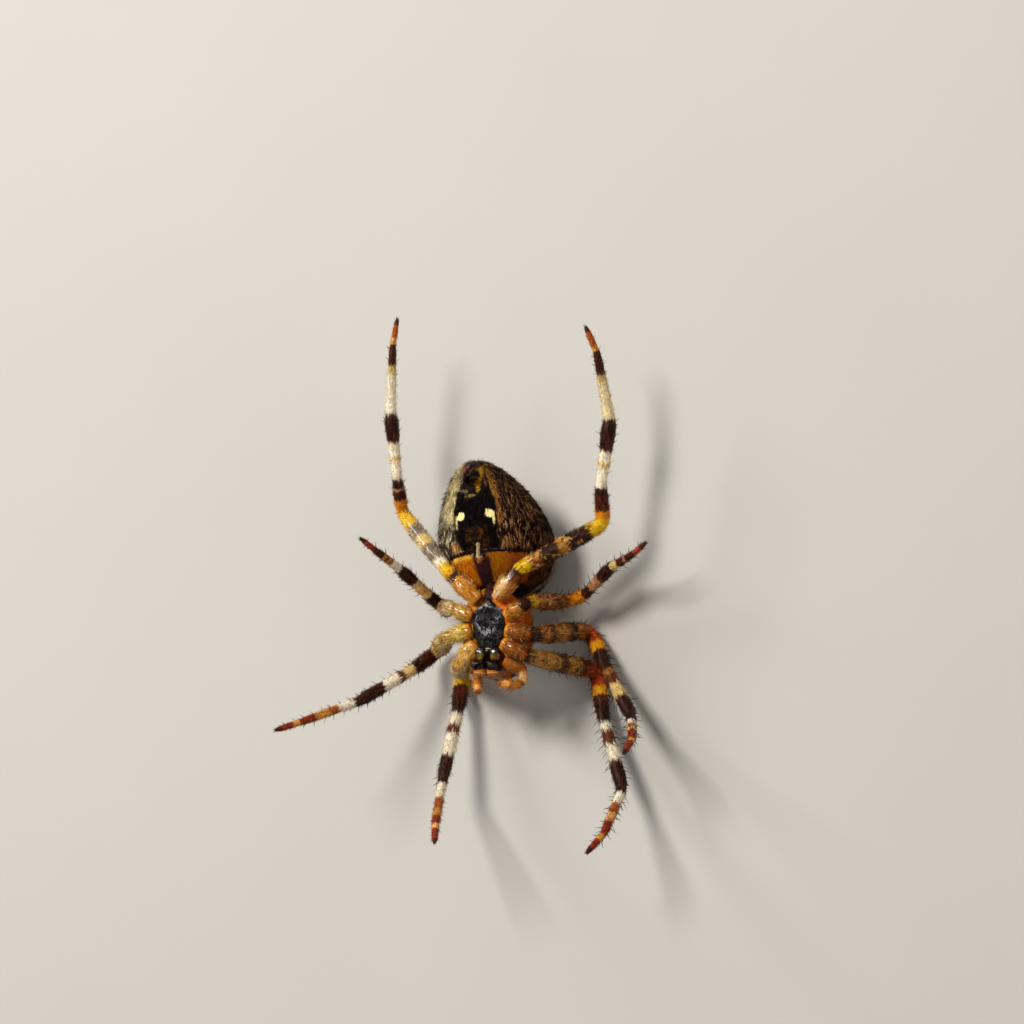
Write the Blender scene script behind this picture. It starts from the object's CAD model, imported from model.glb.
# %% [markdown]
# # A cross orb weaver, life size
#
# This lesson dresses the solids of a garden spider in skin, colour and hair. The spider lies on
# its back, belly up, as it hangs in its web. The solids come first and give every place and
# size; each one is then covered by a smooth skin that follows the same formula a little inside.

# %% Load the frame
import math

import bmesh
import bpy
import numpy as np
from mathutils import Matrix, Quaternion, Vector, noise


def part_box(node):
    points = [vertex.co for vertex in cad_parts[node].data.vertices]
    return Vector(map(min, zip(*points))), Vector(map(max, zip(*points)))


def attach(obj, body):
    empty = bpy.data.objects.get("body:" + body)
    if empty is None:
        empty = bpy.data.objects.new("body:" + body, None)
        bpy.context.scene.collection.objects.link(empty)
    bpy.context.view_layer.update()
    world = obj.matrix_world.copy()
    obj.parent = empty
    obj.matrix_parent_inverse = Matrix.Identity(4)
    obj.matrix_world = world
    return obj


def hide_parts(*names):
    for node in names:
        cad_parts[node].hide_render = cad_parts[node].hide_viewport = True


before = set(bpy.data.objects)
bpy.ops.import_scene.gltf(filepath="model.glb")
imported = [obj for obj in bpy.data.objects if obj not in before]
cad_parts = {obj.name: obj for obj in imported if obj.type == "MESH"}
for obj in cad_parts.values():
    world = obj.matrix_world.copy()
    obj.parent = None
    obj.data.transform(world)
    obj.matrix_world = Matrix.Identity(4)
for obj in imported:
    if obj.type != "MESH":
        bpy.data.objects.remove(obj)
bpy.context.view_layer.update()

# %% [markdown]
# ## Places
#
# A spider is easiest to measure from the middle of its sternum, the plate on its chest. The
# sternum solid tells where that is, so every place below is written in millimetres from there:
# x to the spider's right, y to its tail end and z out of its belly.

# %% The spider's own millimetres
MM = 0.001
STERNUM_FRONT = -1.27
SIDES = (("left", -1), ("right", 1))
sternum_low, sternum_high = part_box("sternum")
ZERO = Vector((
    (sternum_low.x + sternum_high.x) / 2,
    sternum_low.y - STERNUM_FRONT * MM,
    sternum_high.z,
))
FLOOR = -ZERO.z / MM


def spot(x, y, z):
    """A place in the spider's millimetres, as Blender's metres."""
    return ZERO + Vector((x, y, z)) * MM


print("sternum's middle:", tuple(round(v, 6) for v in ZERO), "floor at", round(FLOOR, 3), "mm")

# %% [markdown]
# ## Colours
#
# Colours are picked as the eye sees them and turned into the linear numbers that a shader
# works with. Those that several bands share are named after the parts of a spider.

# %% Named colours


def paint(code):
    """A linear colour from the six digits of a screen colour."""
    screen = [int(code[i:i + 2], 16) / 255 for i in (0, 2, 4)]
    linear = [p / 12.92 if p <= 0.04045 else ((p + 0.055) / 1.055) ** 2.4 for p in screen]
    return (*linear, 1.0)


CREAM = paint("ece0c8")
PALE = paint("d8b878")
TAN = paint("a86f2a")
OLIVE = paint("8a4b10")
YELLOW = paint("d8920a")
GOLD = paint("b8880c")
BRIGHT_YELLOW = paint("dcae08")
ORANGE = paint("d27e0c")
RED_ORANGE = paint("ae3c08")
RUST = paint("a8521f")
FOOT_PALE = paint("e0a562")
FOOT_GOLD = paint("d0923c")
FOOT_RED = paint("842812")
FOOT_PINK = paint("a83a2c")
PINKISH = paint("b07a58")
STRAW = paint("e6d5a8")
GREY = paint("756657")
MAHOGANY = paint("5a281a")
BROWN = paint("57310f")
DARK_BROWN = paint("2c1208")
DARK_RED = paint("3c0f08")
BLACK = paint("1c0908")
COXA_ORANGE = paint("a8660e")
COXA_AMBER = paint("80420a")
COXA_CREAM = paint("cb9a3c")
COXA_GREEN = paint("bf9e36")
COXA_HONEY = paint("b0802c")
COXA_DEEP = paint("c07a10")
print("cream is", tuple(round(c, 3) for c in CREAM))

# %% [markdown]
# ## Small words for node trees
#
# Every material here is a tree of nodes. A Value is one output of a node. Sums written with it
# add Math nodes to its own tree, and the helpers below add the other nodes, so that a pattern
# reads as a sentence: a step here, a band there, one colour laid over another.

# %% Values


class Value:
    """One output of a node. Sums written with it become Math nodes in the same tree."""

    def __init__(self, socket):
        self.socket = socket
        self.tree = socket.id_data

    def beside(self, name):
        """Another output of the same node."""
        return Value(self.socket.node.outputs[name])

    def __add__(self, other):
        return maths("ADD", self, other)

    def __sub__(self, other):
        return maths("SUBTRACT", self, other)

    def __rsub__(self, other):
        return maths("SUBTRACT", other, self)

    def __mul__(self, other):
        return maths("MULTIPLY", self, other)

    def __pow__(self, other):
        return maths("POWER", self, other)

    def __abs__(self):
        return maths("ABSOLUTE", self)

    __radd__, __rmul__ = __add__, __mul__


def tree_of(*things):
    """The node tree that the values among these things live in."""
    return next(thing.tree for thing in things if isinstance(thing, Value))


def plug(socket, given):
    """Fills a socket with a value, a number, a colour or the six digits of a colour."""
    if isinstance(given, Value):
        given.tree.links.new(given.socket, socket)
    else:
        socket.default_value = paint(given) if isinstance(given, str) else given


def add_node(tree, kind, inputs, out=0, **settings):
    """Adds a node with its settings and inputs, and hands back one of its outputs."""
    node = tree.nodes.new("ShaderNode" + kind)
    for name, setting in settings.items():
        setattr(node, name, setting)
    for key, given in inputs.items():
        plug(node.inputs[key], given)
    return Value(node.outputs[out])


def maths(operation, first, second=0.0):
    return add_node(tree_of(first, second), "Math", {0: first, 1: second}, operation=operation)


print("values ready")

# %% Node helpers
DEGREES = 180 / math.pi


def remap(value, low, high, new_low=0.0, new_high=1.0, **settings):
    """A value carried from one range to another."""
    ends = {"From Min": low, "From Max": high, "To Min": new_low, "To Max": new_high}
    return add_node(value.tree, "MapRange", {"Value": value, **ends}, **settings)


def rise(value, low, high):
    """A mask that grows from 0 to 1 as the value goes from low to high."""
    return remap(value, low, high, interpolation_type="SMOOTHSTEP")


def stripe(value, low, high, soft):
    """A mask that is 1 where the value lies between low and high."""
    return rise(value, low - soft, low + soft) * rise(value, high + soft, high - soft)


def lay(mask, under, over, blend="MIX"):
    """One colour laid over another where the mask is 1."""
    inputs = {0: mask, 6: under, 7: over}
    return add_node(tree_of(mask, under), "Mix", inputs, 2, data_type="RGBA", blend_type=blend)


def own_grain(place, scale, detail=3.0, roughness=0.55):
    """Noise on a pattern's own numbers, which aren't lengths."""
    inputs = {"Vector": place, "Scale": scale, "Detail": detail, "Roughness": roughness}
    return add_node(place.tree, "TexNoise", inputs)


def grain(place, per_mm, detail=3.0, roughness=0.55):
    """Noise on real places, with its size as grains per millimetre."""
    return own_grain(place, per_mm / MM, detail, roughness)


def blotches(place, scale, low, high, detail=3.0, roughness=0.55):
    """A mask of blotches on a pattern's own numbers."""
    return rise(own_grain(place, scale, detail, roughness), low, high)


def wandering(value, place, per_mm, amount):
    """A value that noise shifts up and down a little, for ragged edges."""
    return value + (grain(place, per_mm) - 0.5) * amount


def shaded(colour, place, per_mm, low, high):
    """A colour that is darker and lighter in small blotches."""
    shade = remap(grain(place, per_mm, 4.0, 0.6), 0.3, 0.7, low, high)
    grey = add_node(place.tree, "CombineColor", {0: shade, 1: shade, 2: shade})
    return lay(1.0, colour, grey, "MULTIPLY")


def stretched(place, factors):
    return add_node(place.tree, "VectorMath", {0: place, 1: factors}, operation="MULTIPLY")


def parts(vector):
    """The three numbers of a vector."""
    first = add_node(vector.tree, "SeparateXYZ", {0: vector})
    return first, first.beside(1), first.beside(2)


def read(tree, name, out="Vector"):
    """Numbers that a mesh remembers at each of its points."""
    return add_node(tree, "Attribute", {}, out, attribute_name=name)


def object_place(tree):
    return add_node(tree, "TexCoord", {}, "Object")


def new_group(name, inputs, outputs):
    """An empty node group, its inputs as values and the sockets of its outputs."""
    tree = bpy.data.node_groups.new(name, "ShaderNodeTree")
    for way, sockets in (("INPUT", inputs), ("OUTPUT", outputs)):
        for label, kind in sockets.items():
            tree.interface.new_socket(name=label, in_out=way, socket_type="NodeSocket" + kind)
    given = tree.nodes.new("NodeGroupInput").outputs
    result = tree.nodes.new("NodeGroupOutput").inputs
    return tree, [Value(given[label]) for label in inputs], result


def new_material(name, **constants):
    """A material, its tree and its shader's sockets, on which its plain numbers are set."""
    material = bpy.data.materials.new(name)
    material.use_nodes = True
    shader = material.node_tree.nodes["Principled BSDF"].inputs
    for socket, constant in constants.items():
        shader[socket.replace("_", " ")].default_value = constant
    return material, material.node_tree, shader


print("node helpers ready")

# %% [markdown]
# ## One fine grain for every shell
#
# A spider's cuticle is never quite smooth: under the hairs it has tiny scales and pores. The
# same effect is wanted on every plate, so it is a node group, built once. It gives a height for
# the bump and a roughness that wanders a little, and each material picks its own strength.

# %% The cuticle group
cuticle, (place, roughness, wander), result = new_group(
    "cuticle",
    {"Place": "Vector", "Roughness": "Float", "Wander": "Float"},
    {"Height": "Float", "Roughness": "Float"},
)
pores = add_node(cuticle, "TexVoronoi", {"Vector": place, "Scale": 16 / MM}, "Distance")
plug(result["Height"], pores * 0.5 + grain(place, 7, 4.0))
plug(result["Roughness"], roughness + (grain(place, 2.5) - 0.5) * wander)
print("group:", cuticle.name)


def finish_shell(shader, place, roughness, wander=0.2, depth=0.012, relief=None, strength=0.5):
    """Gives a material the cuticle's bump and roughness, and a relief of its own if it has one."""
    inputs = {"Place": place, "Roughness": roughness, "Wander": wander}
    rough = add_node(place.tree, "Group", inputs, "Roughness", node_tree=cuticle)
    plug(shader["Roughness"], rough)
    height = rough.beside("Height")
    if relief:
        height = height + relief
    bump = {"Height": height, "Distance": depth * MM, "Strength": strength}
    plug(shader["Normal"], add_node(place.tree, "Bump", bump))


# %% [markdown]
# ## Legs: the axis
#
# Each leg is a chain of six lengths: coxa with its trochanter, femur, patella, tibia,
# metatarsus and tarsus. A pose is written as a joint angle would be: which way each length
# points, and how steeply. The corners are rounded into arcs, so that the skin bends softly, as
# the membrane at a real joint does.

# %% Leg lengths and poses
LEG_LENGTHS = {
    1: (5.8, 2.9, 4.4, 4.5, 1.7),
    2: (5.25, 2.55, 3.8, 4.0, 1.6),
    3: (3.6, 1.6, 2.25, 2.2, 1.15),
    4: (5.3, 2.1, 3.77, 3.92, 1.52),
}

# Coxa's root and end, then [heading, rise] of femur, patella, tibia, metatarsus and tarsus.
LEG_POSES = {
    "leg_1_left": ((-0.78, -1.05, -0.25), (-1.9, -2.35, -0.4),
                   (-172, -71), (-79, 42), (-94, 22), (-63, 56), (-64, 50)),
    "leg_1_right": ((0.85, -1.0, -0.28), (2.3, -1.72, -0.22),
                    (-23, -67), (-73, 21), (-68, 15), (-81, 58), (-117, 48)),
    "leg_2_left": ((-1.05, -0.28, -0.25), (-2.63, -0.78, -0.35),
                   (-162, -62), (-120, 63), (-142, 41), (-153, 52), (-158, 44)),
    "leg_2_right": ((1.05, -0.32, -0.28), (2.55, -0.56, -0.35),
                    (8, -73), (-55, 28), (-54, 19), (-39, 63), (-84, 63)),
    "leg_3_left": ((-1.0, 0.46, -0.25), (-2.43, 0.94, -0.38),
                   (-177, -63), (118, 57), (126, 41), (127, 50), (136, 28)),
    "leg_3_right": ((1.0, 0.46, -0.28), (2.3, 1.28, -0.38),
                    (0, -72), (19, 30), (41, 13), (23, 31), (38, 8)),
    "leg_4_left": ((-0.62, 1.35, -0.22), (-2.45, 3.0, -0.12),
                   (138, -24), (84, 33), (93, 8), (86, 5), (76, 8)),
    "leg_4_right": ((0.48, 1.48, -0.18), (1.87, 3.11, -0.12),
                    (30, -19), (89, 12), (81, 2), (96, 15), (110, 15)),
}
BEND_RADII = (0.52, 0.56, 1.0, 1.2, 1.2)
print("legs:", len(LEG_POSES))


def pointing(heading, up):
    level, steep = math.radians(heading), math.radians(up)
    return Vector((
        math.cos(steep) * math.cos(level), math.cos(steep) * math.sin(level), math.sin(steep),
    ))


def leg_joints(leg):
    """The seven joints of a leg, in the spider's millimetres."""
    root, hip, *directions = LEG_POSES[leg]
    joints = [Vector(root), Vector(hip)]
    for length, direction in zip(LEG_LENGTHS[int(leg[4])], directions):
        joints.append(joints[-1] + pointing(*direction) * length)
    return joints


# %% The rounded axis


def unit(vectors):
    return vectors / np.maximum(np.linalg.norm(vectors, axis=-1, keepdims=True), 1e-12)


def rounded_corner(before, corner, after, radius, steps=12):
    """Points round one joint, and the radius that its arc really has."""
    into, out = corner - before, after - corner
    room = 0.48 * min(into.length, out.length)
    into.normalize()
    out.normalize()
    angle = into.angle(out)
    reach = min(radius * math.tan(angle / 2), room)
    bend = reach / math.tan(angle / 2)
    hinge = into.cross(out).normalized()
    start = corner - into * reach
    centre = start + hinge.cross(into) * bend
    turns = [Quaternion(hinge, angle * i / steps) for i in range(steps + 1)]
    return [centre + turn @ (start - centre) for turn in turns], bend


class Axis:
    """A rounded chain of joints, cut into rings at even steps, each with its own frame."""

    def __init__(self, joints, radii, step):
        points, marks, bends = [joints[0]], [0], []
        for i, radius in enumerate(radii):
            corner, bend = rounded_corner(*joints[i:i + 3], radius)
            marks.append(len(points) + len(corner) // 2)
            bends.append(bend)
            points += corner
        points.append(joints[-1])
        marks.append(len(points) - 1)
        rough = np.array([list(p) for p in points])
        run = np.concatenate([[0], np.cumsum(np.linalg.norm(np.diff(rough, axis=0), axis=1))])
        count = max(8, round(run[-1] / step))
        self.run = np.linspace(0, run[-1], count + 1)
        self.place = np.stack([np.interp(self.run, run, rough[:, k]) for k in range(3)], 1)
        self.along = np.interp(self.run, run[marks], np.arange(len(marks)))
        self.ahead = unit(np.gradient(self.place, axis=0))
        self.side = self.carried_side()
        self.up = np.cross(self.ahead, self.side)
        # the widest radius at each ring that doesn't fold over itself inside a bend
        self.room = np.full(len(self.run), np.inf)
        for mark, bend in zip(marks[1:], bends):
            near = np.abs(self.run - run[mark]) < bend * 1.6
            self.room[near] = np.minimum(self.room[near], bend * 0.92)

    def carried_side(self):
        """A sideways direction that is carried along the axis without twisting."""
        side = np.cross([0, 0, 1], self.ahead[0])
        sides = [side / np.linalg.norm(side)]
        for ahead in self.ahead[1:]:
            side = sides[-1] - ahead * np.dot(sides[-1], ahead)
            sides.append(side / np.linalg.norm(side))
        return np.array(sides)

    def outward(self, rings, turns):
        """The directions that point out of these rings at these turns, in radians."""
        return self.side[rings] * np.cos(turns)[:, None] + self.up[rings] * np.sin(turns)[:, None]

    def measures(self, sides):
        """How far along the axis every corner of a sleeve lies, with room for two numbers more."""
        numbers = np.zeros((len(self.run), sides, 3))
        numbers[:, :, 0] = self.along[:, None]
        return numbers


leg_axes = {leg: Axis(leg_joints(leg), BEND_RADII, 0.09) for leg in LEG_POSES}
print("rings on a front leg:", len(leg_axes["leg_1_left"].run))

# %% [markdown]
# ## Legs: the skin
#
# A leg could be six tubes pushed into each other, but then seams would show at each joint.
# Here it is one skin: a circle that is extruded ring by ring along the axis. The radius swells
# in the middle of the femur and pinches at each joint, where the real leg is hinged. Every
# point remembers how far along the leg it is and on which side, for the coloured bands.

# %% How thick a leg is along its length
LEG_THICKNESS = (
    (0.0, 0.36), (0.12, 0.44), (0.3, 0.52), (0.5, 0.53), (0.62, 0.47), (0.73, 0.38), (0.78, 0.36),
    (0.86, 0.42), (0.94, 0.41), (1.0, 0.35), (1.04, 0.38), (1.18, 0.47), (1.5, 0.53), (1.8, 0.48),
    (1.93, 0.43), (2.0, 0.38), (2.07, 0.39), (2.3, 0.42), (2.7, 0.4), (2.9, 0.37), (3.0, 0.3),
    (3.06, 0.32), (3.25, 0.32), (3.55, 0.34), (3.8, 0.37), (3.93, 0.35), (4.0, 0.26), (4.05, 0.27),
    (4.3, 0.25), (4.6, 0.23), (4.85, 0.225), (4.94, 0.215), (5.0, 0.17), (5.06, 0.18), (5.4, 0.18),
    (5.7, 0.165), (5.9, 0.14), (5.97, 0.1), (6.0, 0.05),
)
STOUTNESS = {1: 1.0, 2: 1.0, 3: 0.86, 4: 0.94}
SLIMNESS = {"leg_1_left": 1.04, "leg_2_left": 0.94, "leg_4_left": 0.9}
FEET = {
    "leg_1_left": 0.9, "leg_3_left": 1.12, "leg_3_right": 1.1, "leg_4_left": 1.25,
    "leg_4_right": 1.22,
}


def leg_radius(leg):
    axis = leg_axes[leg]
    foot = FEET.get(leg, 1.0)
    radius = np.interp(axis.along, *zip(*LEG_THICKNESS)) * STOUTNESS[int(leg[4])]
    radius *= np.where(axis.along > 1, SLIMNESS.get(leg, 1.0), 1.0)
    radius *= np.interp(axis.along, (3.4, 3.8, 4.3, 5.0, 6.0), (1, foot, foot, 1.05, 1.05))
    padded = np.pad(np.minimum(radius, axis.room), 2, mode="edge")
    return sum(padded[k:k + len(radius)] for k in range(5)) / 5


leg_radii = {leg: leg_radius(leg) for leg in LEG_POSES}
print("thickest leg:", round(2 * max(r.max() for r in leg_radii.values()), 2), "mm")

# %% Draw a skin along an axis


def ring_matrix(axis, i, radius):
    """The matrix that carries a circle of radius 1 to one ring of the axis."""
    columns = [axis.side[i] * radius, axis.up[i] * radius, axis.ahead[i] * radius]
    turn = Matrix([[c[k] * MM for c in columns] for k in range(3)]).to_4x4()
    return Matrix.Translation(spot(*axis.place[i])) @ turn


def sleeve(axis, radii, sides):
    """One closed skin: a circle extruded from ring to ring, with its two ends filled."""
    bm = bmesh.new()
    before = ring_matrix(axis, 0, radii[0])
    bmesh.ops.create_circle(bm, segments=sides, radius=1, matrix=before)
    edges = list(bm.edges)
    for i in range(1, len(radii)):
        grown = bmesh.ops.extrude_edge_only(bm, edges=edges)["geom"]
        ring = [part for part in grown if isinstance(part, bmesh.types.BMVert)]
        fresh = set(ring)
        edges = [e for e in grown if isinstance(e, bmesh.types.BMEdge) and set(e.verts) <= fresh]
        here = ring_matrix(axis, i, radii[i])
        bmesh.ops.transform(bm, matrix=here @ before.inverted(), verts=ring)
        before = here
    bmesh.ops.holes_fill(bm, edges=[e for e in bm.edges if e.is_boundary], sides=0)
    bmesh.ops.recalc_face_normals(bm, faces=bm.faces)
    bm.verts.index_update()
    return bm


def wrinkle(bm, per_mm, amount):
    """Moves every point in or out a little by a smooth noise, for folds in the outline itself."""
    bm.normal_update()
    for vert in bm.verts:
        push = noise.fractal(vert.co * per_mm / MM, 0.7, 2.0, 3)
        vert.co += vert.normal * push * amount(vert) * MM


def gathered(bodies):
    """Several closed meshes in one."""
    whole = bmesh.new()
    for body in bodies:
        mesh = bpy.data.meshes.new("part")
        body.to_mesh(mesh)
        body.free()
        whole.from_mesh(mesh)
        bpy.data.meshes.remove(mesh)
    return whole


print("closed skins can be drawn")

# %% Make a piece of a mesh


def stand(name, data):
    """Puts a mesh, a lamp or a camera in the scene."""
    thing = bpy.data.objects.new(name, data)
    bpy.context.scene.collection.objects.link(thing)
    return thing


def as_piece(name, mesh, material):
    mesh.shade_smooth()
    mesh.materials.append(material)
    piece = stand(name, mesh)
    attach(piece, "root")
    return piece


def new_piece(name, bm, material, nodes=()):
    """A finished piece: its mesh in place, its material, its slot and the solids it stands for."""
    mesh = bpy.data.meshes.new(name)
    bm.to_mesh(mesh)
    bm.free()
    piece = as_piece(name, mesh, material)
    if nodes:
        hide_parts(*nodes)
    return piece


def remember(piece, name, values):
    """Stores three numbers with every point of a piece."""
    attribute = piece.data.attributes.new(name, "FLOAT_VECTOR", "POINT")
    attribute.data.foreach_set("vector", np.asarray(values, np.float32).ravel())


print("pieces can be made")

# %% [markdown]
# ## Legs: the bands
#
# The bands are the spider's best known mark. Each starts at a place along the leg, counted in
# segments: 2.35 is a third of the way along the patella. Two colour ramps read that number,
# one for the inner half and one for the outer half, because a ramp holds 32 stops at most.
# They sit in a node group, so that the skin and its hairs wear the same bands.

# %% Where each band starts
LEG_BANDS = {
    "leg_1_left": (
        (0.13, COXA_CREAM), (0.72, COXA_CREAM), (0.95, TAN), (1.02, PALE), (1.3, BROWN),
        (1.4, PALE), (1.65, ORANGE), (1.8, ORANGE), (1.96, BRIGHT_YELLOW), (2.37, DARK_RED),
        (2.76, BLACK), (3.08, CREAM), (3.23, MAHOGANY), (3.35, CREAM), (3.65, BLACK),
        (4.09, CREAM), (4.43, RUST), (4.7, FOOT_GOLD), (4.85, FOOT_RED), (5.08, FOOT_PALE),
        (5.34, FOOT_RED), (5.88, BLACK)),
    "leg_1_right": (
        (0.13, COXA_AMBER), (0.76, BROWN), (0.82, COXA_AMBER), (0.94, DARK_BROWN), (1.04, TAN),
        (1.36, BROWN), (1.53, TAN), (1.72, BROWN), (1.8, RED_ORANGE), (2.33, YELLOW),
        (2.53, DARK_RED), (2.72, BLACK), (3.08, CREAM), (3.19, MAHOGANY), (3.39, CREAM),
        (3.62, BLACK), (4.12, CREAM), (4.37, RUST), (4.58, FOOT_PALE), (4.76, FOOT_RED),
        (5.11, FOOT_GOLD), (5.36, FOOT_RED), (5.78, BLACK)),
    "leg_2_left": (
        (0.13, COXA_GREEN), (0.74, TAN), (0.8, COXA_GREEN), (0.96, OLIVE), (1.02, COXA_GREEN),
        (1.4, TAN), (1.6, PALE), (1.8, BRIGHT_YELLOW), (1.92, DARK_RED), (2.5, BLACK),
        (3.0, PALE), (3.17, MAHOGANY), (3.27, CREAM), (3.55, BLACK), (4.1, CREAM),
        (4.37, RUST), (4.52, FOOT_GOLD), (4.76, FOOT_RED), (5.06, FOOT_GOLD), (5.32, FOOT_RED),
        (5.8, BLACK)),
    "leg_2_right": (
        (0.13, COXA_AMBER), (0.76, BROWN), (0.82, COXA_AMBER), (0.92, DARK_BROWN), (1.08, OLIVE),
        (1.27, DARK_BROWN), (1.33, TAN), (1.5, OLIVE), (1.6, DARK_BROWN), (1.7, OLIVE),
        (1.95, RED_ORANGE), (2.36, YELLOW), (2.62, BLACK), (3.14, TAN), (3.22, MAHOGANY),
        (3.4, PALE), (3.64, BLACK), (4.25, CREAM), (4.44, RUST), (4.57, PALE),
        (4.7, FOOT_RED), (5.06, FOOT_GOLD), (5.25, FOOT_RED), (5.85, BLACK)),
    "leg_3_left": (
        (0.13, COXA_HONEY), (0.72, TAN), (0.8, PALE), (1.08, OLIVE), (1.5, PALE),
        (1.7, GOLD), (1.92, GOLD), (2.28, BLACK), (3.0, PALE), (3.14, FOOT_GOLD),
        (3.3, PALE), (3.54, BLACK), (4.1, CREAM), (4.43, RUST), (4.52, FOOT_PALE),
        (4.59, DARK_RED), (4.66, FOOT_GOLD), (4.74, DARK_RED), (5.1, FOOT_RED), (5.7, BLACK)),
    "leg_3_right": (
        (0.13, COXA_ORANGE), (0.72, DARK_BROWN), (1.03, GOLD), (1.14, OLIVE), (1.32, DARK_BROWN),
        (1.36, OLIVE), (1.58, DARK_BROWN), (1.62, OLIVE), (1.97, ORANGE), (2.93, BLACK),
        (3.22, PINKISH), (3.6, BLACK), (4.1, PALE), (4.4, DARK_BROWN), (4.68, PINKISH),
        (4.78, DARK_BROWN), (5.17, FOOT_PINK), (5.62, BLACK)),
    "leg_4_left": (
        (0.13, COXA_DEEP), (0.7, DARK_BROWN), (0.84, YELLOW), (0.93, BRIGHT_YELLOW),
        (1.07, CREAM), (1.16, GREY), (1.4, PALE), (1.55, GREY), (1.73, BRIGHT_YELLOW),
        (2.0, ORANGE), (2.45, DARK_RED), (2.75, PINKISH), (2.83, BLACK), (3.04, CREAM),
        (3.3, PALE), (3.37, CREAM), (3.58, BLACK), (4.01, CREAM), (4.58, PALE),
        (4.7, DARK_BROWN), (5.03, FOOT_PALE), (5.3, RUST), (5.78, BLACK)),
    "leg_4_right": (
        (0.13, COXA_CREAM), (0.62, DARK_BROWN), (0.97, BRIGHT_YELLOW), (1.13, OLIVE),
        (1.25, DARK_BROWN), (1.47, TAN), (1.57, DARK_BROWN), (1.84, BRIGHT_YELLOW),
        (2.15, ORANGE), (2.35, DARK_RED), (2.76, BLACK), (2.98, CREAM), (3.28, PALE),
        (3.37, CREAM), (3.53, BLACK), (4.01, STRAW), (4.56, PALE), (4.66, DARK_BROWN),
        (5.03, FOOT_GOLD), (5.22, RUST), (5.8, BLACK)),
}
HALF_WAY = 2.9
print("bands on the left fourth leg:", len(LEG_BANDS["leg_4_left"]))

# %% Bands as node groups


def band_ramp(along, bands, low, high, soft=0.018):
    """A ramp in which each band's colour begins at its place, with a slightly soft edge."""
    colours = add_node(along.tree, "ValToRGB", {0: remap(along, low, high)})
    stops = colours.socket.node.color_ramp.elements
    stops[0].color = bands[0][1]
    stops[1].color = bands[-1][1]
    for (_, colour), (start, next_colour) in zip(bands, bands[1:]):
        stops.new((start - soft - low) / (high - low)).color = colour
        stops.new((start + soft - low) / (high - low)).color = next_colour
    return colours


def leg_marks(leg):
    """The group that turns a place along this leg into its colour."""
    tree, (along,), result = new_group(leg + "_marks", {"Along": "Float"}, {"Color": "Color"})
    bands = LEG_BANDS[leg]
    inner = [(0.0, COXA_DEEP), *(band for band in bands if band[0] < HALF_WAY)]
    outer = [(HALF_WAY, inner[-1][1]), *(band for band in bands if band[0] >= HALF_WAY)]
    near, far = band_ramp(along, inner, 0.0, 3.0), band_ramp(along, outer, HALF_WAY, 6.0)
    plug(result["Color"], lay(rise(along, 2.905, 2.915), near, far))
    return tree


marks_of_leg = {leg: leg_marks(leg) for leg in LEG_POSES}
print("groups of bands:", len(marks_of_leg))

# %% [markdown]
# ## Legs: the shader
#
# The cuticle of the legs is thin and lets some light through, most of all on the pale bands
# and on the plump coxae round the sternum, which look like amber. Subsurface scattering gives
# that glow. The edges of the bands are ragged, so noise shifts the place along the leg before
# the ramp reads it, and the femora are freckled with brown.

# %% The material of a leg
CREASED_HIPS = ("leg_1_left", "leg_2_left", "leg_3_left")


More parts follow.
